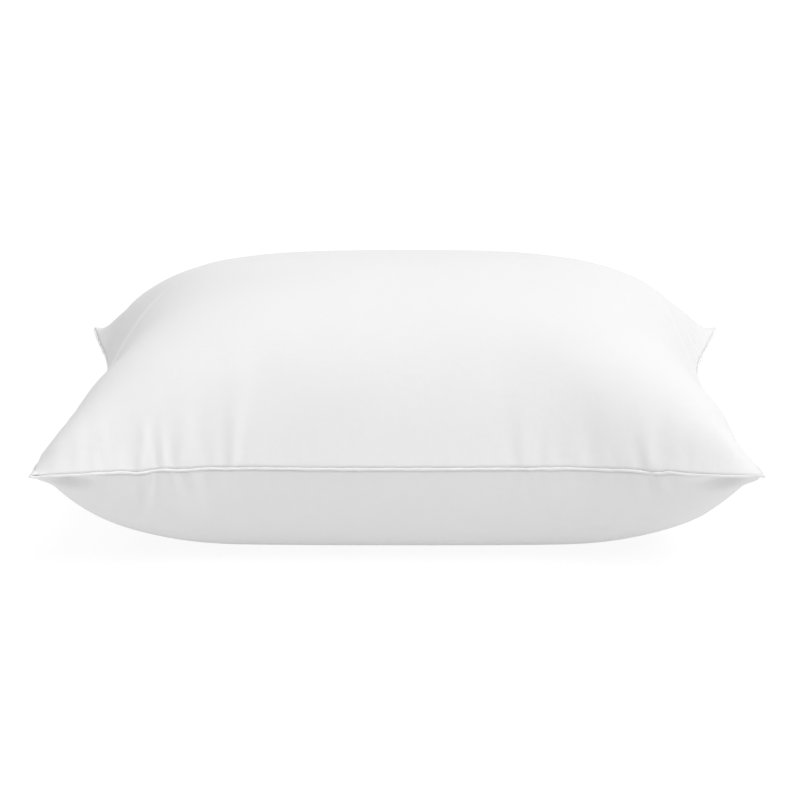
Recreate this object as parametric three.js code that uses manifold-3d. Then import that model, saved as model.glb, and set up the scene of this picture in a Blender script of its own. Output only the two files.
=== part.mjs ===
// A bed pillow lying on its lower face: two ticking panels sewn with a corded edge and stuffed with fibre.
// Millimetres, +Z up, +X along the long side and -Y towards the front long side.
// The origin is on the surface that the pillow lies on, under its middle.

import * as THREE from "three";
import { ParametricGeometry } from "three/addons/geometries/ParametricGeometry.js";
import { mergeVertices } from "three/addons/utils/BufferGeometryUtils.js";
import Module from "manifold-3d";

// The filled pillow.
const seamLength = 626; // between the seam's corners, along X
const seamWidth = 478; // between the seam's corners, along Y
const seamHeight = 92; // seam plane above the surface underneath
const crownHeight = 128; // top of the upper panel above the seam plane
const endDrawIn = 50; // how far the stuffing draws the middle of each short side in
const frontDrawIn = 40; // the same for the long sides
const cornerRadius = 14; // of the corded edge, at each corner
const drawInPower = 1.5; // 1 is a straight line from corner to middle, 2 a parabola

// The two bulges, each as (1 - |u|^power)^edge, where a smaller edge is a steeper wall at the seam.
const upperBulge = { alongX: [3.4, 0.58], alongY: [2.6, 0.58] };
const lowerBulge = { alongX: [4.0, 0.5], alongY: [4.0, 0.5] };
const lowerDepth = 106; // how deep the lower panel would hang if nothing flattened it

// Sewn edge.
const tickingThickness = 0.8;
const seamAllowance = 11; // panel cloth turned inwards past the seam
const seamFromCord = 2.6; // stitched line to the middle of the piping
const pipingRadius = 1.6;
const pipingThickness = 0.35;
const pipingSlit = 0.2; // between the two layers of the piping's flange
const threadThickness = 0.4;
const threadSetback = seamAllowance * 0.4; // main seam's thread inwards from the stitched line
const overlockWidth = seamAllowance / 2;
const clearance = 0.3; // between pieces that touch in the real pillow

// Stuffing.
const wrapGap = 1.5; // round the stuffing, inside the ticking
const coreWidth = 250; // folded core inside the wrap, along Y
const coreHeight = 96;

// Care label, folded double, sewn into the back long side.
const labelWidth = 38;
const labelDrop = 52; // free length below the seam
const labelThickness = 0.4;
const labelTuck = 6; // length held in the seam
const labelRun = 9; // which straight run of the back seam it is sewn into, counted from the left

// Closing stitch of the filling gap, in the middle of the right short side.
const closingLength = 210;
const closingRise = 3.5; // stitch line from the seam plane, up the panel
const tackLength = 6;
const tackWidth = 1.6;

// Faces of the seam's layers, measured from the seam plane.
const pipingFlange = pipingThickness + pipingSlit / 2;
const upperFace = pipingFlange + clearance;
const lowerFace = pipingFlange + clearance + labelThickness + clearance;
const allowanceEnd = seamFromCord + seamAllowance;
const wallInset = 2 * tickingThickness; // of a panel's inner face from its outer one, at the seam

const cellsX = 18;
const cellsY = 14;

const wasm = await Module();
wasm.setup();

const white = { color: 0xf2f2f0, roughness: 0.85, metalness: 0 };
const cotton = new THREE.MeshStandardMaterial(white);
const cordCotton = new THREE.MeshStandardMaterial({ ...white, color: 0xeeece6 });
const thread = new THREE.MeshStandardMaterial({ ...white, color: 0xf6f6f4, roughness: 0.6 });
const fibre = new THREE.MeshStandardMaterial({ ...white, color: 0xf8f8f8, roughness: 1 });
const satin = new THREE.MeshStandardMaterial({ ...white, color: 0xfafafa, roughness: 0.45 });

// Spreads evenly spaced stations so that they crowd towards the edges.
function ease(t) {
  return t * (1.5 - 0.5 * t * t);
}

// A point of the unit square on the seam plane: a rectangle with rounded corners and drawn-in sides.
// The inset moves its outline inwards all round.
function onSeamPlane(u, v, inset) {
  const halfX = seamLength / 2 - inset;
  const halfY = seamWidth / 2 - inset;
  const radius = Math.max(cornerRadius - inset, 0);
  let x = Math.abs(u) * halfX;
  let y = Math.abs(v) * halfY;
  const pastX = x - (halfX - radius);
  const pastY = y - (halfY - radius);
  if (pastX > 0 && pastY > 0) {
    const shrink = Math.max(pastX, pastY) / Math.hypot(pastX, pastY);
    x = halfX - radius + pastX * shrink;
    y = halfY - radius + pastY * shrink;
  }
  const shareX = x / halfX;
  const shareY = y / halfY;
  x -= shareX * endDrawIn * (1 - shareY ** drawInPower);
  y -= shareY * frontDrawIn * (1 - shareX ** drawInPower);
  return [Math.sign(u) * x, Math.sign(v) * y];
}

// Share of the full bulge at a point of the unit square.
function bulgeAt(u, v, { alongX, alongY }) {
  const rise = (t, [power, edge]) => Math.max(0, 1 - Math.abs(t) ** power) ** edge;
  return rise(u, alongX) * rise(v, alongY);
}

// Height of a panel's face. start is its face at the seam, from the seam plane, and size its full bulge.
function upperHeight(u, v, start, size) {
  return seamHeight + start + (size - start) * bulgeAt(u, v, upperBulge);
}

function lowerHeight(u, v, start, size, floor) {
  return Math.max(floor, seamHeight - start - (size - start) * bulgeAt(u, v, lowerBulge));
}

// Moves every vertex of a three.js geometry and leaves only positions, merged where they meet.
function remap(geometry, place) {
  const bare = new THREE.BufferGeometry();
  bare.setAttribute("position", geometry.getAttribute("position"));
  bare.setIndex(geometry.getIndex());
  const at = bare.getAttribute("position");
  for (let i = 0; i < at.count; i++) at.setXYZ(i, ...place(at.getX(i), at.getY(i), at.getZ(i)));
  return mergeVertices(bare, 1e-3);
}

// Two sheets that share each cell's diagonal, joined by a rim. Each puts a unit square's points into space.
function doubleSheet(outer, inner, across, along) {
  const sheet = new THREE.PlaneGeometry(2, 2, across, along);
  const flat = sheet.getAttribute("position");
  const cells = Array.from(sheet.getIndex().array);
  const points = [outer, inner].flatMap((face) =>
    Array.from({ length: flat.count }, (_, i) => face(flat.getX(i), flat.getY(i))).flat(),
  );
  // The sheet's vertices run in rows from the back to the front, each from left to right.
  const row = across + 1;
  const last = flat.count - 1;
  const edge = [
    ...Array.from({ length: across }, (_, i) => last - across + i),
    ...Array.from({ length: along }, (_, i) => last - i * row),
    ...Array.from({ length: across }, (_, i) => across - i),
    ...Array.from({ length: along }, (_, i) => i * row),
  ];
  const rim = edge.flatMap((from, i) => {
    const to = edge[(i + 1) % edge.length];
    return [from + flat.count, to + flat.count, to, from + flat.count, to, from];
  });
  return new THREE.BufferGeometry()
    .setAttribute("position", new THREE.Float32BufferAttribute(points, 3))
    .setIndex([...cells, ...cells.map((i) => i + flat.count).reverse(), ...rim]);
}

// A panel is bent into a dish. Its outermost cells are the seam allowance, folded back inwards.
function tickingPanel(height) {
  const fold = (t, cells) => {
    const dishEnd = 1 - 2 / cells;
    const folded = Math.abs(t) > dishEnd + 1e-6;
    return { at: folded ? Math.sign(t) : ease(t / dishEnd), folded };
  };
  const face = (inside) => (across, along) => {
    const u = fold(across, cellsX);
    const v = fold(along, cellsY);
    const wall = inside ? wallInset : 0;
    const inset = u.folded || v.folded ? allowanceEnd : seamFromCord + wall;
    return [...onSeamPlane(u.at, v.at, inset), height(u.at, v.at, inside)];
  };
  return doubleSheet(face(false), face(true), cellsX, cellsY);
}

function tickingTop() {
  return tickingPanel((u, v, inside) =>
    inside
      ? upperHeight(u, v, upperFace + tickingThickness, crownHeight - tickingThickness)
      : upperHeight(u, v, upperFace, crownHeight),
  );
}

// The lower panel is the same dish upside down, so each triangle is turned round again.
function tickingBottom() {
  const panel = tickingPanel((u, v, inside) =>
    inside
      ? lowerHeight(u, v, lowerFace + tickingThickness, lowerDepth - tickingThickness, tickingThickness)
      : lowerHeight(u, v, lowerFace, lowerDepth, 0),
  );
  return turnedRound(panel);
}

function turnedRound(geometry) {
  const index = geometry.getIndex();
  for (let i = 0; i < index.count; i += 3) {
    const second = index.getX(i + 1);
    index.setX(i + 1, index.getX(i + 2));
    index.setX(i + 2, second);
  }
  return geometry;
}

// Shares of one side, from -1 to just below 1, at which the panels' edges have a vertex.
function sideStations(cells) {
  const steps = cells - 2;
  return Array.from({ length: steps }, (_, i) => ease((2 * i) / steps - 1));
}

// The unit square's outline, one station for each boundary vertex of a panel's dish.
function outlineStations() {
  const x = sideStations(cellsX);
  const y = sideStations(cellsY);
  return [
    ...x.map((t) => [t, -1]),
    ...y.map((t) => [1, t]),
    ...x.map((t) => [-t, 1]),
    ...y.map((t) => [-1, -t]),
  ];
}

// Sweeps a closed section right round the seam. Each of its points is [inset, height from the seam plane].
function roundTheSeam(points) {
  const stations = outlineStations();
  const turn = THREE.ShapeUtils.area(points.map(([inset, z]) => ({ x: inset, y: z })));
  const section = turn > 0 ? [...points].reverse() : points;
  const place = (s, t, target) => {
    const [u, v] = stations[Math.round(s * stations.length) % stations.length];
    const [inset, z] = section[Math.round(t * section.length) % section.length];
    const [x, y] = onSeamPlane(u, v, inset);
    target.set(x, y, seamHeight + z);
  };
  const loop = new ParametricGeometry(place, stations.length, section.length);
  return remap(loop, (x, y, z) => [x, y, z]);
}

// Points of a circle about the piping's middle, from one angle to another, as [inset, height].
function arc(radius, from, to, steps) {
  return Array.from({ length: steps + 1 }, (_, i) => {
    const angle = from + ((to - from) * i) / steps;
    return [radius * Math.cos(angle), radius * Math.sin(angle)];
  });
}

// A bias strip folded round the cord, with its two edges lying together as a flange in the seam.
function pipingCover() {
  const bore = pipingRadius - pipingThickness;
  const outerGap = Math.asin(pipingFlange / pipingRadius);
  const innerGap = Math.asin(pipingSlit / 2 / bore);
  const full = 2 * Math.PI;
  return roundTheSeam([
    [allowanceEnd, pipingFlange],
    ...arc(pipingRadius, outerGap, full - outerGap, 7),
    [allowanceEnd, -pipingFlange],
    [allowanceEnd, -pipingSlit / 2],
    ...arc(bore, full - innerGap, innerGap, 7),
    [allowanceEnd, pipingSlit / 2],
  ]);
}

function pipingCord() {
  const radius = pipingRadius - pipingThickness - 2 * clearance;
  return roundTheSeam(arc(radius, 0, (2 * Math.PI * 5) / 6, 5));
}

// A flat band of thread on the inner face of one panel's allowance. side is 1 above the seam and -1 below.
function seamThread(face, side) {
  const near = side * (face + tickingThickness + clearance);
  const far = near + side * threadThickness;
  const start = seamFromCord + threadSetback;
  const end = start + threadThickness * 1.5;
  return roundTheSeam([
    [start, near],
    [start, far],
    [end, far],
    [end, near],
  ]);
}

// Thread that wraps the raw edges of all the layers, so its section is a channel open towards the piping.
function overlockThread() {
  const mouth = allowanceEnd - overlockWidth;
  const inner = allowanceEnd + 2 * clearance;
  const outer = inner + threadThickness;
  const above = upperFace + tickingThickness + clearance;
  const below = -(lowerFace + tickingThickness + clearance);
  return roundTheSeam([
    [mouth, above],
    [mouth, above + threadThickness],
    [outer, above + threadThickness],
    [outer, below - threadThickness],
    [mouth, below - threadThickness],
    [mouth, below],
    [inner, below],
    [inner, above],
  ]);
}

// The stuffing's outer shape, clear of the ticking and of the sewn edge.
function stuffingBody() {
  const inset = allowanceEnd + 2 * clearance + threadThickness + wrapGap;
  const gap = tickingThickness + wrapGap;
  const rim = seamAllowance / 4;
  const face = (height) => (across, along) => {
    const u = ease(across);
    const v = ease(along);
    return [...onSeamPlane(u, v, inset), height(u, v)];
  };
  const upper = face((u, v) => upperHeight(u, v, rim, crownHeight - gap));
  const lower = face((u, v) => lowerHeight(u, v, rim, lowerDepth - gap, gap));
  return doubleSheet(upper, lower, cellsX - 2, cellsY - 2);
}

// The folded core: a soft-edged bar along X. grow makes it larger all round.
function coreShape(length, grow) {
  const middle = (seamHeight + crownHeight) / 2;
  const round = new THREE.Shape();
  round.absellipse(0, 0, coreWidth / 2 + grow, coreHeight / 2 + grow, 0, 2 * Math.PI, false, 0);
  const bar = new THREE.ExtrudeGeometry(round, { depth: length, bevelEnabled: false, curveSegments: 20 });
  bar.rotateY(Math.PI / 2);
  bar.rotateX(Math.PI / 2);
  bar.translate(-length / 2, 0, middle);
  return bar;
}

function solidOf(geometry) {
  const bare = geometry.index ? geometry.toNonIndexed() : geometry.clone();
  bare.deleteAttribute("normal");
  bare.deleteAttribute("uv");
  const merged = mergeVertices(bare, 1e-3);
  return new wasm.Manifold(
    new wasm.Mesh({
      numProp: 3,
      vertProperties: merged.getAttribute("position").array,
      triVerts: new Uint32Array(merged.getIndex().array),
    }),
  );
}

function geometryOf(solid) {
  const { vertProperties, triVerts } = solid.getMesh();
  return new THREE.BufferGeometry()
    .setAttribute("position", new THREE.BufferAttribute(vertProperties, 3))
    .setIndex(new THREE.BufferAttribute(triVerts, 1));
}

// The wrap is a sleeve: the stuffing's shape with the core's bar cut through it from end to end.
function fillWrap() {
  return geometryOf(solidOf(stuffingBody()).subtract(solidOf(coreShape(seamLength, 0))));
}

function fillCore() {
  return geometryOf(solidOf(stuffingBody()).intersect(solidOf(coreShape(seamLength, -wrapGap))));
}

// The label leaves the seam under the piping and hangs straight down behind the pillow. It is drawn at the
// origin and then set against one straight run of the seam, between two of its stations.
function careLabel() {
  const top = -(pipingFlange + clearance);
  const profile = new THREE.Shape([
    new THREE.Vector2(-labelTuck, top),
    new THREE.Vector2(clearance + labelThickness, top),
    new THREE.Vector2(clearance + labelThickness, top - labelDrop),
    new THREE.Vector2(clearance, top - labelDrop),
    new THREE.Vector2(clearance, top - labelThickness),
    new THREE.Vector2(-labelTuck, top - labelThickness),
  ]);
  const strip = new THREE.ExtrudeGeometry(profile, { depth: labelWidth, bevelEnabled: false });
  const upright = remap(strip, (y, z, x) => [x - labelWidth / 2, y, z]);
  const [from, to] = sideStations(cellsX)
    .slice(labelRun, labelRun + 2)
    .map((u) => new THREE.Vector2(...onSeamPlane(u, 1, seamFromCord)));
  upright.rotateZ(to.clone().sub(from).angle());
  const middle = from.lerp(to, 0.5);
  return upright.translate(middle.x, middle.y, seamHeight);
}

// A point on the right short side, on the straight runs between the stations of the panels' edges.
function onRightSide(y, inset) {
  const points = sideStations(cellsY).map((v) => onSeamPlane(1, v, inset));
  const next = points.findIndex(([, at]) => at > y);
  const [[fromX, fromY], [toX, toY]] = points.slice(next - 1, next + 1);
  return [fromX + ((toX - fromX) * (y - fromY)) / (toY - fromY), y];
}

// A strand on the outer face of a panel beside the right short side, from one place along it to another.
function outsideStrand(fromY, toY, width, side) {
  const between = sideStations(cellsY).map((v) => onSeamPlane(1, v, seamFromCord)[1]);
  const along = [fromY, ...between.filter((y) => y > fromY && y < toY), toY];
  const runs = along.length - 1;
  const middle = side * closingRise;
  const outer = seamFromCord - clearance - threadThickness;
  return remap(new THREE.BoxGeometry(1, 2, 1, 1, runs, 1), (bx, by, bz) => {
    const y = along[Math.round(((by + 1) / 2) * runs)];
    const [x] = onRightSide(y, outer + threadThickness * (0.5 - bx));
    return [x, y, seamHeight + middle + bz * width];
  });
}

function closingThread(side) {
  const reach = closingLength / 2 - clearance;
  return outsideStrand(-reach, reach, threadThickness, side);
}

// A bar tack locks one end of the closing stitch. end is 1 at the back and -1 at the front.
function closingTack(end) {
  const near = (end * closingLength) / 2;
  const far = near + end * tackLength;
  return outsideStrand(Math.min(near, far), Math.max(near, far), tackWidth, 1);
}

const pillow = new THREE.Group();

function add(name, geometry, material) {
  const mesh = new THREE.Mesh(geometry, material);
  mesh.name = name;
  pillow.add(mesh);
}

add("ticking_top", tickingTop(), cotton);
add("ticking_bottom", tickingBottom(), cotton);
add("piping_cover", pipingCover(), cotton);
add("piping_cord", pipingCord(), cordCotton);
add("seam_needle_thread", seamThread(upperFace, 1), thread);
add("seam_bobbin_thread", seamThread(lowerFace, -1), thread);
add("overlock_thread", overlockThread(), thread);
add("fill_wrap", fillWrap(), fibre);
add("fill_core", fillCore(), fibre);
add("closing_needle_thread", closingThread(1), thread);
add("closing_bobbin_thread", closingThread(-1), thread);
add("closing_tack_front", closingTack(-1), thread);
add("closing_tack_back", closingTack(1), thread);
add("care_label", careLabel(), satin);

export default pillow;
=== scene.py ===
import math

import bpy
import numpy as np
from mathutils import Matrix, Vector


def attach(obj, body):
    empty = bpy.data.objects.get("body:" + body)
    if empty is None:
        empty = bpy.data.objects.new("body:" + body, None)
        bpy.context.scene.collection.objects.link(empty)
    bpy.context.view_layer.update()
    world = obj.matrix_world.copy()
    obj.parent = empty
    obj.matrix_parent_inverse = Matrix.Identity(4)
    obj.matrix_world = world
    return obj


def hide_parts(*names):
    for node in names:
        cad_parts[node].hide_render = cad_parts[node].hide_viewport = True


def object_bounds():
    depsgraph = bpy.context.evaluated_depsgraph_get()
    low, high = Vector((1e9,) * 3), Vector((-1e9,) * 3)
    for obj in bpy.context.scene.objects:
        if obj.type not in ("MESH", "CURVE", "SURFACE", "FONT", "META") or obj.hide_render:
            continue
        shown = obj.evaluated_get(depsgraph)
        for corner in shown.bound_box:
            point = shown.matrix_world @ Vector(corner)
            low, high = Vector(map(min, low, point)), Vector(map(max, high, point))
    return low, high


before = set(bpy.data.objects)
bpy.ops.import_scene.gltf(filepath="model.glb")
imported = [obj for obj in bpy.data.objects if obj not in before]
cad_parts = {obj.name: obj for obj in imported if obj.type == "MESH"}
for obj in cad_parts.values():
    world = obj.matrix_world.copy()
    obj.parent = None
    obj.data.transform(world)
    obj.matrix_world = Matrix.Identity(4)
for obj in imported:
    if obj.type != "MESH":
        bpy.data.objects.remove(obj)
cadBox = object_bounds()
scene = bpy.context.scene

# Everything is in metres. The pillow lies on z = 0 with its long front side towards -Y.
view = {
    "elevation": 16.4,          # degrees above the floor
    "azimuth": 0.9,             # degrees round to the right of straight in front
    "roll": -0.2,               # degrees
    "distance": 2.85,           # from the middle of the pillow
    "lens": 141.0,              # millimetres
    "shift": (-0.001, -0.0208), # shares of the picture's width
}


def addCamera():
    low, high = (Vector(corner) for corner in cadBox)
    middle = (low + high) / 2
    rise, turn, roll = (math.radians(view[key]) for key in ("elevation", "azimuth", "roll"))
    back = Vector((math.sin(turn) * math.cos(rise), -math.cos(turn) * math.cos(rise), math.sin(rise)))
    right = Vector((math.cos(turn), math.sin(turn), 0))
    up = back.cross(right)
    rolledRight = right * math.cos(roll) + up * math.sin(roll)
    rolledUp = up * math.cos(roll) - right * math.sin(roll)
    lens = bpy.data.cameras.new("camera")
    lens.lens = view["lens"]
    lens.shift_x, lens.shift_y = view["shift"]
    camera = bpy.data.objects.new("camera", lens)
    scene.collection.objects.link(camera)
    facing = Matrix((rolledRight, rolledUp, back)).transposed().to_4x4()
    camera.matrix_world = Matrix.Translation(middle + back * view["distance"]) @ facing
    scene.camera = camera


addCamera()
print("camera placed")

# The sewn bag, filled by cloth simulation.
bag = {
    "cut": (0.66, 0.51),        # size of each flat panel between its seams
    "cornerRadius": 0.012,      # of the cut corners
    "cell": 0.0075,             # size of the simulated cells of cloth
    "frames": 50,
    "filling": 6.0,             # outward push of the stuffing
    "load": 80.0,               # weight that each square metre of cloth carries
    "tension": 40.0,
    "compression": 10.0,
    "shear": 1.0,
    "bending": 5.0,
    "damping": 5.0,             # of tension, compression and shear
    "bendingDamping": 0.5,
    "airDrag": 1.0,
    "substeps": 6,
    "startBulge": 0.03,
    "tableDrop": 0.1,           # how far the bag falls on to its table
    "tableReach": 2.0,
    "tableFriction": 5.0,
    "contact": 0.002,           # distance that the cloth keeps from the table
}


def cutPoint(u, v):
    # A point of the flat panel with rounded corners; u and v run from -1 to 1.
    halfX, halfY = bag["cut"][0] / 2, bag["cut"][1] / 2
    radius = bag["cornerRadius"]
    x, y = abs(u) * halfX, abs(v) * halfY
    pastX, pastY = x - (halfX - radius), y - (halfY - radius)
    if pastX > 0 and pastY > 0:
        squeeze = max(pastX, pastY) / math.hypot(pastX, pastY)
        x = halfX - radius + pastX * squeeze
        y = halfY - radius + pastY * squeeze
    return math.copysign(x, u), math.copysign(y, v)


def quadsOf(g):
    # The faces between the points that a grid of point numbers names.
    return np.stack([g[:-1, :-1], g[1:, :-1], g[1:, 1:], g[:-1, 1:]], -1).reshape(-1, 4)


def squarePlate(name, reach, height):
    # A flat sheet, for the table of the simulation and for the studio's floor.
    mesh = bpy.data.meshes.new(name)
    corners = [(x * reach, y * reach, height) for x, y in ((-1, -1), (1, -1), (1, 1), (-1, 1))]
    mesh.from_pydata(corners, [], [(0, 1, 2, 3)])
    plate = bpy.data.objects.new(name, mesh)
    scene.collection.objects.link(plate)
    return plate


def flatBag():
    # Two panels that share the points of their seam.
    countX, countY = (round(size / bag["cell"]) for size in bag["cut"])
    points, faces, index = [], [], {}
    grids = {side: np.zeros((countX + 1, countY + 1), int) for side in (1, -1)}
    for side in (1, -1):
        for i in range(countX + 1):
            for j in range(countY + 1):
                onSeam = i in (0, countX) or j in (0, countY)
                key = (i, j, 0 if onSeam else side)
                if key not in index:
                    u, v = 2 * i / countX - 1, 2 * j / countY - 1
                    bulge = 0 if onSeam else side * bag["startBulge"] * math.sqrt((1 - u * u) * (1 - v * v))
                    index[key] = len(points)
                    points.append((*cutPoint(u, v), bulge))
                grids[side][i, j] = index[key]
        quads = quadsOf(grids[side])
        faces.extend((quads if side > 0 else quads[:, ::-1]).tolist())
    return points, faces, grids


def addCloth(sewn):
    modifier = sewn.modifiers.new("cloth", "CLOTH")
    fabric = modifier.settings
    fabric.quality = bag["substeps"]
    fabric.mass = bag["load"] * bag["cell"] ** 2    # of each point
    fabric.tension_stiffness = bag["tension"]
    fabric.compression_stiffness = bag["compression"]
    fabric.shear_stiffness = bag["shear"]
    fabric.bending_stiffness = bag["bending"]
    fabric.tension_damping = fabric.compression_damping = fabric.shear_damping = bag["damping"]
    fabric.bending_damping = bag["bendingDamping"]
    fabric.air_damping = bag["airDrag"]
    fabric.use_pressure = True
    fabric.uniform_pressure_force = bag["filling"]
    modifier.collision_settings.distance_min = bag["contact"]
    modifier.point_cache.frame_start, modifier.point_cache.frame_end = 1, bag["frames"]


def fillBag():
    # Lets the bag fill and settle on a table, and gives back the points of each panel.
    points, faces, grids = flatBag()
    mesh = bpy.data.meshes.new("bag")
    mesh.from_pydata(points, [], faces)
    sewn = bpy.data.objects.new("bag", mesh)
    scene.collection.objects.link(sewn)
    table = squarePlate("table", bag["tableReach"], -bag["tableDrop"])
    table.modifiers.new("collision", "COLLISION")
    table.collision.thickness_outer = bag["contact"]
    table.collision.cloth_friction = bag["tableFriction"]
    scene.frame_start, scene.frame_end = 1, bag["frames"]
    addCloth(sewn)
    for step in range(1, bag["frames"] + 1):
        scene.frame_set(step)
    settled = sewn.evaluated_get(bpy.context.evaluated_depsgraph_get())
    places = np.empty(len(points) * 3)
    settled.data.vertices.foreach_get("co", places)
    places = places.reshape(-1, 3)
    bpy.data.objects.remove(sewn)
    bpy.data.objects.remove(table)
    scene.frame_set(1)
    return {side: places[grid] for side, grid in grids.items()}


# How the filled shape is evened out, and how finely its cloth is laid out.
cloth = {
    "cell": 0.003,              # fine grid of each panel
    "fairing": {1: 0.048, -1: 0.03},    # width over which folds are evened out, upper and lower
    "foldsKept": 0.1,           # share of the simulated folds that stays
    "cornerFolds": 0.95,        # the same at the corners
    "balance": 0.85,            # how alike the pillow's quarters are made
    "cornerReach": (0.09, 0.125),   # how far from a corner that is, along X and Y
    "cornerBlur": 1.5,          # in simulated cells
    "gridBlur": 0.8,            # of the fine grid, in simulated cells
    "seamFairing": 0.055,       # width over which the seam is evened out
    "seamFade": 1.5,            # how far in the cloth follows the evened seam, in widths of that fairing
    "backTaper": 0.031,         # how much narrower the back is than the front
    "frontWiden": 0.014,
    "tipPull": (0.007, 0.022),  # how far the front corners' tips are tucked in, and over what width
    "crownRise": 1.037,         # of the upper panel's height above the seam
    "thickness": 0.0005,
}


def blurred(grid, width):
    # Gaussian blur of a grid of points. Its edges are mirrored through themselves, so they stay in place.
    reach = math.ceil(3 * width)
    weights = np.exp(-np.arange(-reach, reach + 1) ** 2 / (2 * width * width))
    weights /= weights.sum()
    for axis in (0, 1):
        g = np.moveaxis(grid, axis, 0)
        before = 2 * g[:1] - g[1:reach + 1][::-1]
        after = 2 * g[-1:] - g[-reach - 1:-1][::-1]
        wide = np.concatenate([before, g, after])
        g = sum(weight * wide[k:k + len(g)] for k, weight in enumerate(weights))
        grid = np.moveaxis(g, 0, axis)
    return grid


def faired(grid, width):
    # A second pass gives back most of the fullness that a blur takes away.
    once = blurred(grid, width)
    return once + blurred(grid - once, width)


def balanced(grid, share):
    # Brings a panel closer to the same shape on the left and right, and in front and behind.
    acrossX = grid[::-1] * (-1, 1, 1)
    halves = (grid + acrossX) / 2
    return grid + share * ((halves + halves[:, ::-1] * (1, -1, 1)) / 2 - grid)


def resampled(grid, countX, countY):
    for axis, count in ((0, countX), (1, countY)):
        g = np.moveaxis(grid, axis, 0)
        at = np.linspace(0, len(g) - 1, count + 1)
        low = np.minimum(at.astype(int), len(g) - 2)
        share = (at - low)[:, None, None]
        grid = np.moveaxis(g[low] * (1 - share) + g[low + 1] * share, 0, axis)
    return grid


def normalsOf(grid, side):
    alongX = np.gradient(grid, axis=0)
    alongY = np.gradient(grid, axis=1)
    n = np.cross(alongX, alongY) * side
    return n / np.maximum(np.linalg.norm(n, axis=-1, keepdims=True), 1e-12)


def seamLines(grid):
    # The four edges of a panel's grid.
    return {"front": grid[:, 0], "back": grid[:, -1], "left": grid[0], "right": grid[-1]}


def evenSeam(panels):
    # The seam runs in one smooth arch from corner to corner, and the cloth beside it follows.
    countX, countY = panels[1].shape[:2]
    width = cloth["seamFairing"] / cloth["cell"]
    reach = cloth["seamFade"] * width
    fadeX, fadeY = (np.exp(-(np.arange(count) / reach) ** 2) for count in (countX, countY))
    for name, line in seamLines(panels[1].copy()).items():
        # The blur takes a grid, so the line is repeated into a strip.
        strip = np.repeat(line[:, None], 2 * math.ceil(3 * width) + 2, 1)
        arch = faired(strip, width)[:, 0]
        for panel in panels.values():
            move = arch - seamLines(panel)[name]
            if name in ("front", "back"):
                across = fadeY if name == "front" else fadeY[::-1]
                panel += move[:, None] * across[None, :, None]
            else:
                across = fadeX if name == "left" else fadeX[::-1]
                panel += move[None] * across[:, None, None]


def setForm(panels):
    # Drawn-in front corners and back, fuller crown, and the place of the pillow on its surface.
    every = np.concatenate([panel.reshape(-1, 3) for panel in panels.values()])
    low, high = every.min(0), every.max(0)
    seamHeight = panels[1][:, 0, 2].mean()
    pull, reach = cloth["tipPull"]
    for panel in panels.values():
        panel[..., :2] -= (low[:2] + high[:2]) / 2
        corners = panel[[0, -1], 0, :2].copy()
        for corner in corners:
            near = np.exp(-np.sum((panel[..., :2] - corner) ** 2, -1) / reach ** 2)
            panel[..., :2] -= pull * near[..., None] * corner / np.linalg.norm(corner)
        share = (panel[..., 1] - low[1]) / (high[1] - low[1])
        panel[..., 0] *= 1 + cloth["frontWiden"] - cloth["backTaper"] * share
        above = np.maximum(panel[..., 2] - seamHeight, 0)
        panel[..., 2] += above * (cloth["crownRise"] - 1) - low[2]


def finePanels(filled):
    # The filled bag without most of its simulated folds, on a fine grid for each panel.
    countX, countY = (round(size / cloth["cell"]) for size in bag["cut"])
    halfX, halfY = (size / 2 for size in bag["cut"])
    x, y = (np.linspace(0, 2 * half, count) for half, count in zip((halfX, halfY), filled[1].shape))
    cornerX, cornerY = halfX - abs(x - halfX), halfY - abs(y - halfY)
    reachX, reachY = cloth["cornerReach"]
    nearCorner = np.exp(-(cornerX[:, None] / reachX) ** 2 - (cornerY[None] / reachY) ** 2)
    share = cloth["foldsKept"] + (cloth["cornerFolds"] - cloth["foldsKept"]) * nearCorner
    panels = {}
    every = np.concatenate([panel.reshape(-1, 3) for panel in filled.values()])
    middle = (every.max(0) + every.min(0)) / 2 * (1, 1, 0)
    for side, coarse in filled.items():
        coarse = coarse - middle
        smooth = faired(coarse, cloth["fairing"][side] / bag["cell"])
        folds = faired(coarse, cloth["cornerBlur"]) - smooth
        kept = balanced(smooth, cloth["balance"]) + share[..., None] * folds
        softening = cloth["gridBlur"] * bag["cell"] / cloth["cell"]
        panels[side] = blurred(resampled(kept, countX, countY), softening)
    evenSeam(panels)
    setForm(panels)
    return panels


panels = finePanels(fillBag())
print("bag filled:", *(np.round(np.ptp(panel, axis=(0, 1)), 3) for panel in panels.values()))

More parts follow.
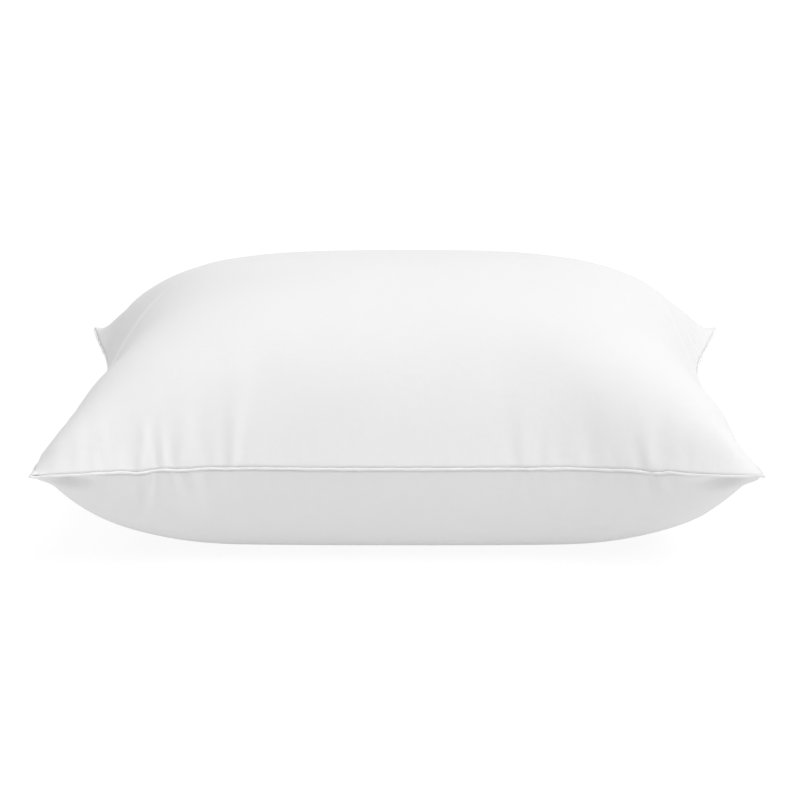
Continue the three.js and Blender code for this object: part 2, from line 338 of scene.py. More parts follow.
# Small gathers where the cloth is drawn up along the seam, and a few deeper folds.
gathers = {
    "spacing": 0.010,           # average, where the seam is most drawn up
    "width": (0.0024, 0.0046),
    "reach": (0.012, 0.038),    # how far they run into the panel
    "height": (0.0003, 0.0010),
    "lean": 0.12,
    "stray": 0.25,              # of a gather from its even place, in spacings
    "gap": (0.6, 1.4),          # from one gather to the next, in spacings
    "calm": 0.15,               # strength of the gathers where nothing is drawn up
    "calmCloseness": 0.35,      # and how closely they follow each other there
    "reachShare": 0.6,          # of that reach where the cloth is calm, and more with more strength
    "seamShare": 0.35,          # of a gather's height, left at the seam itself
    "seamDepth": 0.006,         # where it has its whole height
    "fade": 1.6,                # a larger one keeps its height for longer and then ends sooner
    "seamStep": 0.0007,         # how far a gather moves the seam up or down
    "seed": 11,
    "drawnUp": {                # middle, width and amount along each side, from the left or from the front
        "front": ((0.17, 0.11, 1.1), (0.68, 0.05, 0.5), (0.85, 0.07, 0.8)),
        "back": ((0.22, 0.10, 0.9), (0.55, 0.08, 0.5), (0.80, 0.10, 1.0)),
        "left": ((0.25, 0.12, 0.8), (0.72, 0.12, 0.8)),
        "right": ((0.24, 0.10, 0.9), (0.52, 0.12, 0.6), (0.76, 0.10, 0.9)),
    },
    "folds": (                  # side, place along it, lean, width, reach, height, upper or lower panel
        ("front", 0.286, 0.05, 0.0045, 0.060, 0.0016, 1),
        ("front", 0.215, 0.02, 0.0045, 0.040, 0.0014, 1),
        ("front", 0.192, -0.05, 0.0040, 0.036, 0.0013, 1),
        ("front", 0.160, 0.00, 0.0045, 0.034, 0.0011, 1),
        ("front", 0.838, -0.20, 0.0050, 0.042, 0.0015, 1),
        ("front", 0.735, 0.00, 0.0050, 0.030, 0.0008, 1),
        ("front", 0.666, -0.05, 0.0050, 0.050, 0.0009, 1),
        ("front", 0.205, 0.00, 0.0045, 0.034, 0.0010, -1),
        ("front", 0.235, 0.05, 0.0045, 0.040, 0.0009, -1),
        ("front", 0.172, -0.10, 0.0040, 0.034, 0.0008, -1),
        ("front", 0.852, 0.00, 0.0050, 0.032, 0.0014, -1),
        ("front", 0.822, 0.05, 0.0050, 0.028, 0.0011, -1),
        ("left", 0.46, 0.78, 0.0042, 0.088, 0.0030, 1),
        ("left", 0.52, 0.66, 0.0034, 0.070, 0.0018, 1),
        ("left", 0.13, 0.00, 0.0420, 0.060, 0.0055, 1),
        ("right", 0.60, 0.70, 0.0070, 0.080, 0.0016, 1),
    ),
}
# The lower panel turns under in a hollow beside each corner: its place along the seam and in from it.
hollows = {"from": 0.030, "length": 0.026, "depth": 0.008, "width": 0.007, "size": 0.0115}
# Just inside the corners it is stuffed a little fuller.
tips = {"from": 0.016, "length": 0.011, "drop": 0.0045, "seamWidth": 0.004}


def fold(along, depth, middle, lean, width, reach, height):
    # A ridge that runs in from the seam and widens, with a shallow valley on each side.
    off = (along - middle - lean * depth) / (width * (1 + depth / reach))
    atSeam = gathers["seamShare"]
    rise = atSeam + (1 - atSeam) * np.clip(depth / gathers["seamDepth"], 0, 1)
    fade = np.exp(-(depth / reach) ** gathers["fade"])
    return height * (1 - off ** 2) * np.exp(-off ** 2 / 2) * rise * fade


def sideRuns():
    # For each side, every point's distance along it and in from it, on the flat cloth.
    lengthX, lengthY = bag["cut"]
    countX, countY = panels[1].shape[:2]
    x, y = np.meshgrid(np.linspace(0, lengthX, countX), np.linspace(0, lengthY, countY), indexing="ij")
    return {
        "front": (x, y, lengthX),
        "back": (x, lengthY - y, lengthX),
        "left": (y, x, lengthY),
        "right": (y, lengthX - x, lengthY),
    }


def addGathers(runs, lift, shift):
    random = np.random.default_rng(gathers["seed"])
    closeness = gathers["calmCloseness"]
    for name, (along, depth, length) in runs.items():
        place = gathers["spacing"]
        while place < length - gathers["spacing"]:
            strength = gathers["calm"]
            for at, spread, amount in gathers["drawnUp"][name]:
                strength += amount * math.exp(-((place / length - at) / spread) ** 2)
            middle = place + random.normal(0, gathers["stray"]) * gathers["spacing"]
            width = random.uniform(*gathers["width"])
            height = random.uniform(*gathers["height"]) * strength
            lean = random.normal(0, gathers["lean"])
            for side in lift:
                reach = random.uniform(*gathers["reach"]) * gathers["reachShare"] * (1 + strength)
                lift[side] += fold(along, depth, middle, lean, width, reach, height)
            step = gathers["seamStep"] * strength * random.uniform(-1, 1)
            near = ((along - middle) / (2 * width)) ** 2 + (depth / gathers["seamDepth"]) ** 2
            shift += step * np.exp(-near)
            gap = gathers["spacing"] * random.uniform(*gathers["gap"])
            place += gap / (closeness + (1 - closeness) * strength)


def addHollows(runs, lift):
    for name in ("front", "back"):
        along, depth, length = runs[name]
        for end in (along, length - along):
            beside = np.exp(-((end - hollows["from"]) / hollows["length"]) ** 2)
            under = np.exp(-((depth - hollows["depth"]) / hollows["width"]) ** 2)
            lift[-1] -= hollows["size"] * beside * under


def addTips(runs, lift):
    for fromEnd in (runs["left"][1], runs["right"][1]):
        for fromSide in (runs["front"][1], runs["back"][1]):
            full = np.exp(-((np.hypot(fromEnd, fromSide) - tips["from"]) / tips["length"]) ** 2)
            inwards = np.clip(np.minimum(fromEnd, fromSide) / tips["seamWidth"], 0, 1)
            lift[-1] += tips["drop"] * full * inwards


def gatherPanels():
    runs = sideRuns()
    lift = {side: np.zeros(panels[1].shape[:2]) for side in panels}     # along the cloth's normals
    shift = np.zeros(panels[1].shape[:2])                               # upwards, alike for both panels
    addGathers(runs, lift, shift)
    for name, at, lean, width, reach, height, side in gathers["folds"]:
        along, depth, length = runs[name]
        lift[side] += fold(along, depth, at * length, lean, width, reach, height)
    addHollows(runs, lift)
    addTips(runs, lift)
    for side, panel in panels.items():
        panel += normalsOf(panel, side) * lift[side][..., None]
        panel[..., 2] += shift
        panel[..., 2] = np.maximum(panel[..., 2], 0)


gatherPanels()
normals = {side: normalsOf(panel, side) for side, panel in panels.items()}
print("seams gathered")


def seamLoop(grid):
    # The edge of a panel's grid, anticlockwise from the front left corner as seen from above.
    return np.concatenate([grid[:-1, 0], grid[-1, :-1], grid[:0:-1, -1], grid[0, :0:-1]])


def evenLoop(points, spacing):
    # The same closed line with evenly spaced points.
    closed = np.concatenate([points, points[:1]])
    run = np.concatenate([[0], np.cumsum(np.linalg.norm(np.diff(closed, axis=0), axis=1))])
    count = round(run[-1] / spacing)
    at = np.linspace(0, run[-1], count, endpoint=False)
    return np.stack([np.interp(at, run, closed[:, axis]) for axis in range(3)], -1)


def loopFrames(points, smoothing=3):
    # Outward and upward directions along a closed line.
    tangent = np.roll(points, -smoothing, 0) - np.roll(points, smoothing, 0)
    tangent /= np.linalg.norm(tangent, axis=1, keepdims=True)
    outward = np.cross(tangent, (0, 0, 1))
    outward /= np.linalg.norm(outward, axis=1, keepdims=True)
    return outward, np.cross(outward, tangent)


def addMesh(name, points, faces, material, flatFaces=0):
    # The last faces, as many as flatFaces says, stay flat, so that a cut rim has a crisp edge.
    mesh = bpy.data.meshes.new(name)
    mesh.from_pydata(points.tolist(), [], faces if isinstance(faces, list) else faces.tolist())
    mesh.materials.append(material)
    rounded = len(mesh.polygons) - flatFaces
    mesh.polygons.foreach_set("use_smooth", [True] * rounded + [False] * flatFaces)
    mesh.update()
    piece = bpy.data.objects.new(name, mesh)
    scene.collection.objects.link(piece)
    return piece


def giveGrain(piece, places):
    # Where each point was on the flat cloth, so that the weave runs along the threads.
    attribute = piece.data.attributes.new("grain", "FLOAT_VECTOR", "POINT")
    attribute.data.foreach_set("vector", np.asarray(places, np.float32).ravel())


def ringFaces(rings, sides, closed=True):
    # Faces between rings of points, and from the last ring back to the first if closed.
    count = rings if closed else rings - 1
    a = np.arange(count)[:, None] * sides + np.arange(sides)
    b = np.arange(count)[:, None] * sides + (np.arange(sides) + 1) % sides
    c = (np.arange(count)[:, None] + 1) % rings * sides + (np.arange(sides) + 1) % sides
    d = (np.arange(count)[:, None] + 1) % rings * sides + np.arange(sides)
    return np.stack([a, d, c, b], -1).reshape(-1, 4)


def closedSheet(outer, inner, flip):
    # Points and faces of a thin sheet: its outer face, its inner face, and last its rim.
    total = outer.shape[0] * outer.shape[1]
    g = np.arange(total).reshape(outer.shape[:2])
    faces = quadsOf(g)
    edge = seamLoop(g)
    following = np.roll(edge, -1)
    rim = np.stack([edge, edge + total, following + total, following], -1)
    faces = np.concatenate([faces, faces[:, ::-1] + total, rim])
    points = np.concatenate([outer.reshape(-1, 3), inner.reshape(-1, 3)])
    return points, faces[:, ::-1] if flip else faces


def nodeGroup(name, inputs, outputs):
    group = bpy.data.node_groups.new(name, "ShaderNodeTree")
    for label, kind, value in inputs:
        socket = group.interface.new_socket(name=label, in_out="INPUT", socket_type=kind)
        if value is not None:
            socket.default_value = value
    for label, kind in outputs:
        group.interface.new_socket(name=label, in_out="OUTPUT", socket_type=kind)
    return group, group.nodes.new("NodeGroupInput"), group.nodes.new("NodeGroupOutput")


def addMath(tree, operation, *values):
    node = tree.nodes.new("ShaderNodeMath")
    node.operation = operation
    for socket, value in zip(node.inputs, values):
        if isinstance(value, bpy.types.NodeSocket):
            tree.links.new(value, socket)
        else:
            socket.default_value = value
    return node.outputs[0]


def addNoise(tree, place, scale, detail=2.0):
    node = tree.nodes.new("ShaderNodeTexNoise")
    node.inputs["Detail"].default_value = detail
    tree.links.new(place, node.inputs["Vector"])
    if isinstance(scale, bpy.types.NodeSocket):
        tree.links.new(scale, node.inputs["Scale"])
    else:
        node.inputs["Scale"].default_value = scale
    return node.outputs[0]


# Scale, per metre, and detail of the noises that make threads wander and vary in thickness.
weaveNoise = {"wander": (90.0, 3.0), "slub": (900.0, 2.0)}
# The cloth's fine unevenness: its scale beside the broad one's, and its share of the tint and of the relief.
mottleMix = {"fineScale": 9.0, "detail": 3.0, "tintShare": 0.4, "reliefShare": 0.3}


def weaveGroup():
    # Plain weave: warp and weft take turns on top, and each thread varies a little in thickness.
    inputs = [
        ("Place", "NodeSocketVector", None),
        ("Threads", "NodeSocketFloat", 2600.0),
        ("Slub", "NodeSocketFloat", 0.4),
        ("Wander", "NodeSocketFloat", 9.0),
    ]
    outputs = [("Height", "NodeSocketFloat"), ("Gap", "NodeSocketFloat")]
    group, given, result = nodeGroup("plainWeave", inputs, outputs)
    place, threads = given.outputs["Place"], given.outputs["Threads"]
    parts = group.nodes.new("ShaderNodeSeparateXYZ")
    group.links.new(place, parts.inputs[0])
    drift = addNoise(group, place, *weaveNoise["wander"])
    wander = addMath(group, "MULTIPLY", drift, given.outputs["Wander"])
    turns = (addMath(group, "MULTIPLY_ADD", parts.outputs[axis], threads, wander) for axis in ("X", "Y"))
    warpWave, weftWave = (addMath(group, "SINE", turn) for turn in turns)
    warpOver = addMath(group, "MULTIPLY_ADD", addMath(group, "MULTIPLY", warpWave, weftWave), 0.5, 0.5)
    weftOver = addMath(group, "SUBTRACT", 1.0, warpOver)
    warp = addMath(group, "ABSOLUTE", warpWave)
    weft = addMath(group, "ABSOLUTE", weftWave)
    rise = addMath(group, "MULTIPLY_ADD", warp, warpOver, addMath(group, "MULTIPLY", weft, weftOver))
    slub = addNoise(group, place, *weaveNoise["slub"])
    height = addMath(group, "MULTIPLY_ADD", slub, given.outputs["Slub"], rise)
    group.links.new(height, result.inputs["Height"])
    # Gap is low between the threads; the material darkens the colour there as painted shade.
    group.links.new(addMath(group, "MINIMUM", warp, weft), result.inputs["Gap"])
    return group


def mottleGroup():
    # Slow unevenness of a washed white cloth, as a mask around 0.5, and its gentle relief.
    inputs = [("Place", "NodeSocketVector", None), ("Size", "NodeSocketFloat", 14.0)]
    outputs = [("Mask", "NodeSocketFloat"), ("Crumple", "NodeSocketFloat")]
    group, given, result = nodeGroup("clothMottle", inputs, outputs)
    place, size = given.outputs["Place"], given.outputs["Size"]
    fineSize = addMath(group, "MULTIPLY", size, mottleMix["fineScale"])
    broad = addNoise(group, place, size, mottleMix["detail"])
    fine = addNoise(group, place, fineSize, mottleMix["detail"])
    for name, share in (("Mask", mottleMix["tintShare"]), ("Crumple", mottleMix["reliefShare"])):
        mixed = addMath(group, "MULTIPLY_ADD", fine, share, addMath(group, "MULTIPLY", broad, 1 - share))
        group.links.new(mixed, result.inputs[name])
    return group


weave = weaveGroup()
mottle = mottleGroup()


def addBump(tree, height, distance, normal=None):
    bump = tree.nodes.new("ShaderNodeBump")
    bump.inputs["Distance"].default_value = distance
    bump.inputs["Strength"].default_value = 1.0
    tree.links.new(height, bump.inputs["Height"])
    if normal is not None:
        tree.links.new(normal, bump.inputs["Normal"])
    return bump.outputs["Normal"]


def clothMaterial(name, spec):
    # A woven material, from one of the sets of values below.
    material = bpy.data.materials.new(name)
    material.use_nodes = True
    tree = material.node_tree
    shader = tree.nodes["Principled BSDF"]
    shader.inputs["Sheen Weight"].default_value = spec["sheen"]
    shader.inputs["Sheen Roughness"].default_value = spec["sheenRoughness"]
    shader.inputs["Specular IOR Level"].default_value = spec["specular"]
    place = tree.nodes.new("ShaderNodeAttribute")
    place.attribute_name = "grain"
    threads = tree.nodes.new("ShaderNodeGroup")
    threads.node_tree = weave
    threads.inputs["Threads"].default_value = math.pi / spec["threadPitch"]
    threads.inputs["Slub"].default_value = spec["slub"]
    clouds = tree.nodes.new("ShaderNodeGroup")
    clouds.node_tree = mottle
    clouds.inputs["Size"].default_value = spec["mottleSize"]
    for node in (threads, clouds):
        tree.links.new(place.outputs["Vector"], node.inputs["Place"])
    tint = tree.nodes.new("ShaderNodeMix")
    tint.data_type = "RGBA"
    tint.inputs["A"].default_value = (*spec["shade"], 1)
    tint.inputs["B"].default_value = (*spec["colour"], 1)
    clouded = addMath(tree, "MULTIPLY", clouds.outputs["Mask"], spec["mottleTint"])
    # Mix towards the shade colour: painted shade in the gaps between threads, plus the cloth's own random
    # mottled tone.
    factor = addMath(tree, "MULTIPLY_ADD", threads.outputs["Gap"], spec["gapShade"], clouded)
    tree.links.new(factor, tint.inputs["Factor"])
    tree.links.new(tint.outputs["Result"], shader.inputs["Base Color"])
    spread = spec["roughnessSpread"]
    rough = addMath(tree, "MULTIPLY_ADD", clouds.outputs["Mask"], spread, spec["roughness"] - spread / 2)
    tree.links.new(rough, shader.inputs["Roughness"])
    crumpled = addBump(tree, clouds.outputs["Crumple"], spec["crumple"])
    woven = addBump(tree, threads.outputs["Height"], spec["relief"], crumpled)
    tree.links.new(woven, shader.inputs["Normal"])
    return material


ticking = {
    "colour": (0.8, 0.8, 0.8),
    "shade": (0.757, 0.757, 0.757),     # painted shade in the gaps between threads, and the cloth's own duller mottled patches
    "gapShade": 0.45,
    "mottleTint": 0.9,
    "roughness": 0.86,
    "roughnessSpread": 0.14,
    "sheen": 0.08,
    "sheenRoughness": 0.5,
    "specular": 0.15,
    "threadPitch": 0.0005,
    "relief": 0.00006,                  # height of the threads
    "slub": 0.5,
    "mottleSize": 16.0,
    "crumple": 0.0006,                  # height of the slow unevenness
}
# The corded edge is a lighter copy of the ticking: a painted highlight, so the edge reads as a bright line.
litPipingFinish = {**ticking, "colour": (0.84, 0.84, 0.84), "shade": (0.8, 0.8, 0.8), "threadPitch": 0.0004}
threadFinish = {**ticking, "colour": (0.92, 0.92, 0.92), "shade": (0.84, 0.84, 0.84), "roughness": 0.6,
                "sheen": 0.15, "specular": 0.35, "threadPitch": 0.00025, "relief": 0.00004}
labelFinish = {**ticking, "colour": (0.93, 0.93, 0.93), "shade": (0.88, 0.88, 0.88), "roughness": 0.42,
               "sheen": 0.3, "specular": 0.45, "threadPitch": 0.00022, "relief": 0.00003, "crumple": 0.0003}
fibreFinish = {**ticking, "colour": (0.93, 0.93, 0.93), "shade": (0.8, 0.8, 0.8), "roughness": 0.95,
               "mottleSize": 60.0, "crumple": 0.004}
cordFinish = {**ticking, "colour": (0.86, 0.83, 0.77), "shade": (0.78, 0.75, 0.69), "threadPitch": 0.0003}

tickingCloth = clothMaterial("ticking", ticking)
litPipingCloth = clothMaterial("litPipingCloth", litPipingFinish)
sewingThread = clothMaterial("sewingThread", threadFinish)
labelSatin = clothMaterial("labelSatin", labelFinish)
looseFibre = clothMaterial("looseFibre", fibreFinish)
twistedCord = clothMaterial("twistedCord", cordFinish)
print("finishes made")


# The corded edge, a bias strip folded round a cord.
piping = {
    "radius": 0.00115,
    "outwards": 0.0,            # from the seam to the middle of the cord
    "wrinkle": 0.00015,
    "wrinklePasses": 2,
    "wrinkleEvening": 2.6,      # a smaller one leaves stronger wrinkles
    "climb": 0.00095,           # how far the panels' edges stand off the seam, to meet the cord
    "climbReach": 0.011,
    "sides": 12,
    "spacing": 0.0016,
}


def addPanel(name, side, node):
    # The edge climbs a little on to the corded edge that it is sewn to.
    depth = np.min([depth for _, depth, _ in sideRuns().values()], axis=0)
    climb = piping["climb"] * np.exp(-(depth / piping["climbReach"]) ** 2)
    outer = panels[side] + side * climb[..., None] * (0, 0, 1)
    inner = outer - normals[side] * cloth["thickness"]
    if side < 0:
        inner[..., 2] = np.maximum(inner[..., 2], outer[..., 2] + cloth["thickness"] / 4)
    points, faces = closedSheet(outer, inner, flip=side < 0)
    countX, countY = (size - 1 for size in outer.shape[:2])
    piece = addMesh(name, points, faces, tickingCloth, flatFaces=2 * (countX + countY))
    flat = np.array([[(*cutPoint(2 * i / countX - 1, 2 * j / countY - 1), side) for j in range(countY + 1)]
                     for i in range(countX + 1)])
    giveGrain(piece, np.concatenate([flat.reshape(-1, 3)] * 2))
    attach(piece, "root")
    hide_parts(node)


addPanel("upperPanel", 1, "ticking_top")
addPanel("lowerPanel", -1, "ticking_bottom")

seam = evenLoop(seamLoop(panels[1]), piping["spacing"])
outward, upward = loopFrames(seam)


def addRing(name, out, up, radius, sides, material, node, lumps=0.0, seed=1):
    # A round strand that follows the whole seam, with its threads at 45 degrees to it.
    random = np.random.default_rng(seed)
    rings = len(seam)
    wave = random.normal(0, 1, (rings, sides))
    for _ in range(piping["wrinklePasses"]):
        beside = np.roll(wave, 1, 0) + np.roll(wave, 1, 1) + np.roll(wave, -1, 0)
        wave = (wave + beside) / piping["wrinkleEvening"]
    angle = np.linspace(0, 2 * math.pi, sides, endpoint=False)
    size = (radius + lumps * wave)[..., None]
    around = outward[:, None] * np.cos(angle)[:, None] + upward[:, None] * np.sin(angle)[:, None]
    points = (seam + outward * out + upward * up)[:, None] + size * around
    piece = addMesh(name, points.reshape(-1, 3), ringFaces(rings, sides), material)
    run = np.arange(rings) * piping["spacing"]
    run, turn = run[:, None], angle * radius
    grain = np.stack([run + turn, run - turn, np.zeros((rings, sides))], -1)
    giveGrain(piece, grain.reshape(-1, 3) * math.sqrt(0.5))
    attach(piece, "root")
    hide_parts(node)


addRing("cordedEdge", piping["outwards"], 0, piping["radius"], piping["sides"], litPipingCloth,
        "piping_cover", piping["wrinkle"])
print("panels and corded edge made")

# Stitched lines inside the seam, which hold its layers together, each beside the seam's own line.
seamWork = {
    "threads": {
        "needleThread": {"node": "seam_needle_thread", "out": -0.0026, "up": 0.0009, "radius": 0.00022},
        "bobbinThread": {"node": "seam_bobbin_thread", "out": -0.0026, "up": -0.0009, "radius": 0.00022},
        "overlockThread": {"node": "overlock_thread", "out": -0.0085, "up": 0, "radius": 0.0011},
    },
    "sides": 8,
    "lumps": 0.2,               # unevenness of a thread, as a share of its radius
    "cordShare": 0.7,           # the inner cord's radius, as a share of the piping's
    "cordLumps": 0.0001,
}
for name, line in seamWork["threads"].items():
    addRing(name, line["out"], line["up"], line["radius"], seamWork["sides"], sewingThread,
            line["node"], seamWork["lumps"] * line["radius"], seed=3)
addRing("pipingCord", piping["outwards"], 0, piping["radius"] * seamWork["cordShare"], seamWork["sides"],
        twistedCord, "piping_cord", seamWork["cordLumps"], seed=5)

# The stuffing: a carded wrap just inside the cloth, round a folded core.
stuffing = {
    "step": 3,                  # cells of the panels' grid to one of the stuffing's
    "gap": 0.008,               # from the cloth
    "wrapIn": 0.036,            # from the seam
    "coreShare": (0.96, 0.5, 0.46),     # of the wrap's size
    "coreHeight": 0.105,        # of the core's middle
    "tuft": 0.0025 / 3,         # typical unevenness
    "tuftLimit": 2,             # the largest, in typical ones
    "seed": 23,
}


def stuffingShape(cutIn):
    # The filled shape, a little inside the cloth, with its rim drawn back from the seam.
    step = stuffing["step"]
    sheets = {}
    for side, panel in panels.items():
        inside = panel - normals[side] * stuffing["gap"]
        keep = round(cutIn / cloth["cell"])
        sheets[side] = inside[keep:-keep:step, keep:-keep:step].copy()
    middle = (sheets[1] + sheets[-1]) / 2
    for sheet in sheets.values():
        for edge in (np.s_[0, :], np.s_[-1, :], np.s_[:, 0], np.s_[:, -1]):
            sheet[edge] = middle[edge]
    return sheets


def addStuffing(name, node, sheets, seed):
    # One closed body, with the soft tufts of loose fibre.
    random = np.random.default_rng(seed)
    points, faces = closedSheet(sheets[1], sheets[-1], flip=False)
    limit = stuffing["tuftLimit"]
    points = points + np.clip(random.normal(0, 1, points.shape), -limit, limit) * stuffing["tuft"]
    points[:, 2] = np.maximum(points[:, 2], stuffing["gap"])
    piece = addMesh(name, points, faces, looseFibre)
    giveGrain(piece, points)
    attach(piece, "root")
    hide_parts(node)


wrap = stuffingShape(stuffing["wrapIn"])
addStuffing("fibreWrap", "fill_wrap", wrap, stuffing["seed"])
middleOfCore = np.array((0, 0, stuffing["coreHeight"]))
core = {side: (sheet - middleOfCore) * stuffing["coreShare"] + middleOfCore for side, sheet in wrap.items()}
addStuffing("fibreCore", "fill_core", core, stuffing["seed"] + 1)
print("seam work and stuffing made")

# The closing stitch in the middle of the right short side, on both panels, with a bar tack at each end.
closing = {
    "length": 0.210,
    "depth": 0.0035,            # in from the seam
    "stitch": 0.0026,           # length of one stitch
    "pitch": 0.0031,
    "radius": 0.00027,
    "endShare": 0.55,           # of the radius, at a stitch's ends
    "sink": 0.9,                # depth of its ends in the cloth, in radii
    "arch": 1.1,                # height of its middle above them, in radii
    "sides": 7,
    "tackLength": 0.006,
    "tackWidth": 0.0032,
    "tackStitches": 13,
}


def onPanel(side, edge, t, depth):
    # A point on a panel's cloth, at distance t along one edge and a depth in from it, with its normal.
    lengthX, lengthY = bag["cut"]
    place = {"right": (lengthX - depth, t), "back": (t, lengthY - depth)}[edge]
    at = [value / cloth["cell"] for value in place]
    grid, normal = panels[side], normals[side]
    i, j = (min(int(a), size - 2) for a, size in zip(at, grid.shape))
    a, b = at[0] - i, at[1] - j
    mix = [(1 - a) * (1 - b), a * (1 - b), (1 - a) * b, a * b]
    corners = ((i, j), (i + 1, j), (i, j + 1), (i + 1, j + 1))
    point = sum(share * grid[corner] for share, corner in zip(mix, corners))
    facing = sum(share * normal[corner] for share, corner in zip(mix, corners))
    return point, facing / np.linalg.norm(facing)


def stitchPoints(start, end, facing, radius, sides, steps=8):
    # One plump stitch that dips into the cloth at both ends.
    start, end = np.asarray(start), np.asarray(end)
    along = (end - start) / np.linalg.norm(end - start)
    beside = np.cross(along, facing)
    angle = np.linspace(0, 2 * math.pi, sides, endpoint=False)
    rings = []
    for share in np.linspace(0, 1, steps + 1):
        arch = math.sin(math.pi * share)
        size = radius * (closing["endShare"] + (1 - closing["endShare"]) * arch)
        height = radius * (closing["arch"] * arch - closing["sink"])
        middle = start + (end - start) * share + facing * height
        rings.append(middle + size * (np.cos(angle)[:, None] * beside + np.sin(angle)[:, None] * facing))
    return np.concatenate(rings), steps + 1


def joinedStitches(stitches, radius, sides):
    points, faces, total = [], [], 0
    for start, end, facing in stitches:
        ring, rings = stitchPoints(start, end, facing, radius, sides)
        points.append(ring)
        faces.extend((ringFaces(rings, sides, closed=False) + total).tolist())
        faces.append(list(range(total, total + sides)))
        faces.append(list(range(total + rings * sides - 1, total + (rings - 1) * sides - 1, -1)))
        total += rings * sides
    return np.concatenate(points), faces


def addStitches(name, node, stitches):
    points, faces = joinedStitches(stitches, closing["radius"], closing["sides"])
    piece = addMesh(name, points, faces, sewingThread)
    giveGrain(piece, points)
    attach(piece, "root")
    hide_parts(node)


closingStart = (bag["cut"][1] - closing["length"]) / 2


def closingRow(side):
    stitches = []
    for k in range(int(closing["length"] / closing["pitch"])):
        t = closingStart + k * closing["pitch"]
        start, facing = onPanel(side, "right", t, closing["depth"])
        end, _ = onPanel(side, "right", t + closing["stitch"], closing["depth"])
        stitches.append((start, end, facing))
    return stitches


def tackStitches(t):
    # Short stitches side by side across the closing row.
    stitches = []
    for share in np.linspace(0, 1, closing["tackStitches"]):
        at = t + share * closing["tackLength"]
        start, facing = onPanel(1, "right", at, closing["depth"] - closing["tackWidth"] / 2)
        end, _ = onPanel(1, "right", at + closing["radius"], closing["depth"] + closing["tackWidth"] / 2)
        stitches.append((start, end, facing))
    return stitches


addStitches("closingStitchAbove", "closing_needle_thread", closingRow(1))
addStitches("closingStitchBelow", "closing_bobbin_thread", closingRow(-1))
addStitches("frontTack", "closing_tack_front", tackStitches(closingStart - closing["tackLength"]))
addStitches("backTack", "closing_tack_back", tackStitches(closingStart + closing["length"]))

# Blank care label: a satin strip folded double, sewn into the back seam, hanging down with a slight curl.
label = {
    "place": 0.415,             # along the back seam, from the left
    "width": 0.038,
    "drop": 0.052,
    "thickness": 0.0004,
    "hidden": 0.001,            # length that the seam hides
    "below": 0.0004,            # of the seam's middle, where it comes out
    "standOff": 0.0016,         # from the lower panel
    "curl": 0.0042,             # outwards, down its length
    "curlTurn": 1.9,
    "cup": 0.0021,              # of its edges, outwards
    "flutter": 0.0012,
    "flutterTurns": (2, 3),     # across and down
    "across": 16,
    "down": 26,
}


def labelShape(u, v):
    # The outer face of the hanging label; u runs from -1 to 1 across it, and v from 0 to 1 down it.
    middle, _ = onPanel(-1, "back", label["place"] * bag["cut"][0], 0.0)
    turnU, turnV = label["flutterTurns"]
    out = label["standOff"] + label["curl"] * np.sin(v * label["curlTurn"])
    out += label["cup"] * v * u ** 2 + label["flutter"] * v * np.sin(u * turnU + v * turnV)
    x = middle[0] + u * label["width"] / 2
    z = middle[2] - label["below"] - v * (label["drop"] - label["hidden"])
    return np.stack([x, middle[1] + out, z], -1)


def addLabel():
    count = (label["across"], label["down"])
    u, v = np.meshgrid(np.linspace(-1, 1, count[0] + 1), np.linspace(0, 1, count[1] + 1), indexing="ij")
    outer = labelShape(u, v)
    facing = normalsOf(outer, 1)
    facing *= np.sign(facing[..., 1:2].mean())
    inner = outer - facing * 2 * label["thickness"]
    points, faces = closedSheet(outer, inner, flip=True)
    piece = addMesh("careLabel", points, faces, labelSatin, flatFaces=2 * sum(count))
    flat = np.stack([u * label["width"] / 2, v * label["drop"], 0 * u], -1).reshape(-1, 3)
    giveGrain(piece, np.concatenate([flat] * 2))
    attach(piece, "root")
    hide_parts("care_label")


addLabel()
print("closing stitch and label made")

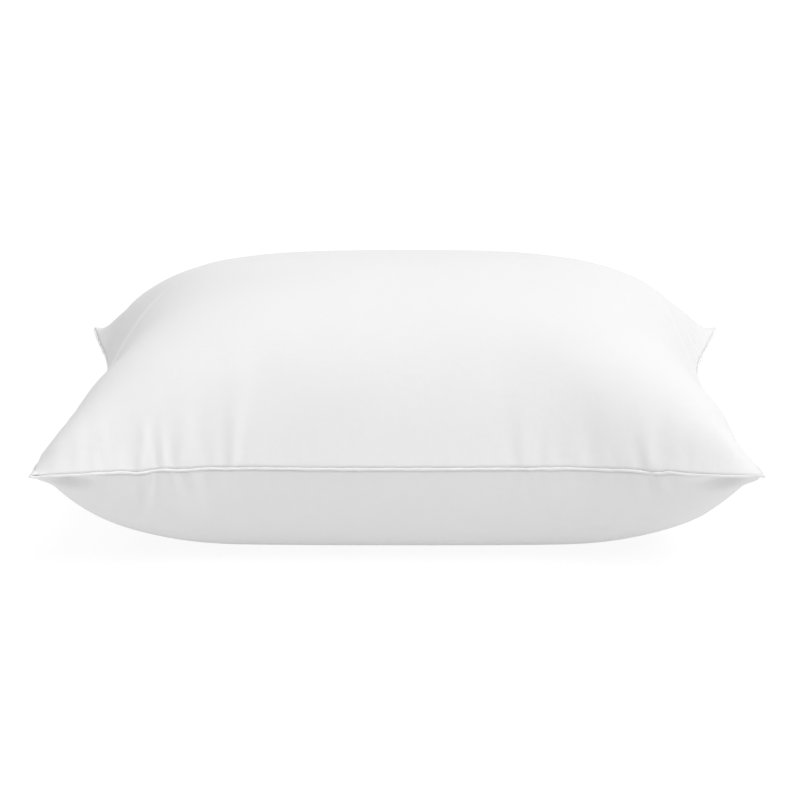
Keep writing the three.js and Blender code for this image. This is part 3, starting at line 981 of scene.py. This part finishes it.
# A plain pale floor in a white room, lit softly from above and a little more from the right.
studio = {
    "floorReach": 40,
    "floorSeen": (0.16, 0.87),  # colour and glow of the floor as it is seen: shadows on it stay faint
    "floorLit": (0.57, 0.37),   # the same as it lights the pillow from below
    "horizon": 0.37,            # the room is dimmer towards the horizon than overhead
    "lean": 0.07,               # how much brighter the room is on the right
    "overhead": 0.98,
    "key": 1.46,
    "keyFrom": (0.48, -0.21, 0.85),
    "keyAngle": 50,             # degrees; a wider one gives softer shadows
}


def addFloor():
    floor = squarePlate("floor", studio["floorReach"], 0)
    paper = bpy.data.materials.new("paper")
    paper.use_nodes = True
    tree = paper.node_tree
    shader = tree.nodes["Principled BSDF"]
    shader.inputs["Roughness"].default_value = 1
    shader.inputs["Specular IOR Level"].default_value = 0
    shader.inputs["Emission Color"].default_value = (1, 1, 1, 1)
    seen = tree.nodes.new("ShaderNodeLightPath").outputs["Is Camera Ray"]
    sockets = ("Base Color", "Emission Strength")
    for socket, bySight, byLight in zip(sockets, studio["floorSeen"], studio["floorLit"]):
        value = addMath(tree, "MULTIPLY_ADD", seen, bySight - byLight, byLight)
        tree.links.new(value, shader.inputs[socket])
    floor.data.materials.append(paper)


def addKeyLight():
    sun = bpy.data.lights.new("key", "SUN")
    sun.energy = studio["key"]
    sun.angle = math.radians(studio["keyAngle"])
    lamp = bpy.data.objects.new("key", sun)
    scene.collection.objects.link(lamp)
    lamp.rotation_euler = Vector(studio["keyFrom"]).to_track_quat("Z", "Y").to_euler()


def addRoom():
    world = bpy.data.worlds.new("world")
    world.use_nodes = True
    tree = world.node_tree
    background = tree.nodes["Background"]
    direction = tree.nodes.new("ShaderNodeTexCoord").outputs["Generated"]
    parts = tree.nodes.new("ShaderNodeSeparateXYZ")
    tree.links.new(direction, parts.inputs[0])
    sideways = addMath(tree, "MULTIPLY_ADD", parts.outputs["X"], studio["lean"], studio["horizon"])
    upwards = addMath(tree, "MAXIMUM", parts.outputs["Z"], 0.0)
    glow = addMath(tree, "MULTIPLY_ADD", upwards, studio["overhead"] - studio["horizon"], sideways)
    seen = tree.nodes.new("ShaderNodeLightPath").outputs["Is Camera Ray"]
    tree.links.new(addMath(tree, "MAXIMUM", glow, seen), background.inputs["Strength"])     # it looks white
    background.inputs["Color"].default_value = (1, 1, 1, 1)
    scene.world = world


addFloor()
addKeyLight()
addRoom()
scene.view_settings.view_transform = "Standard"
print("studio ready")
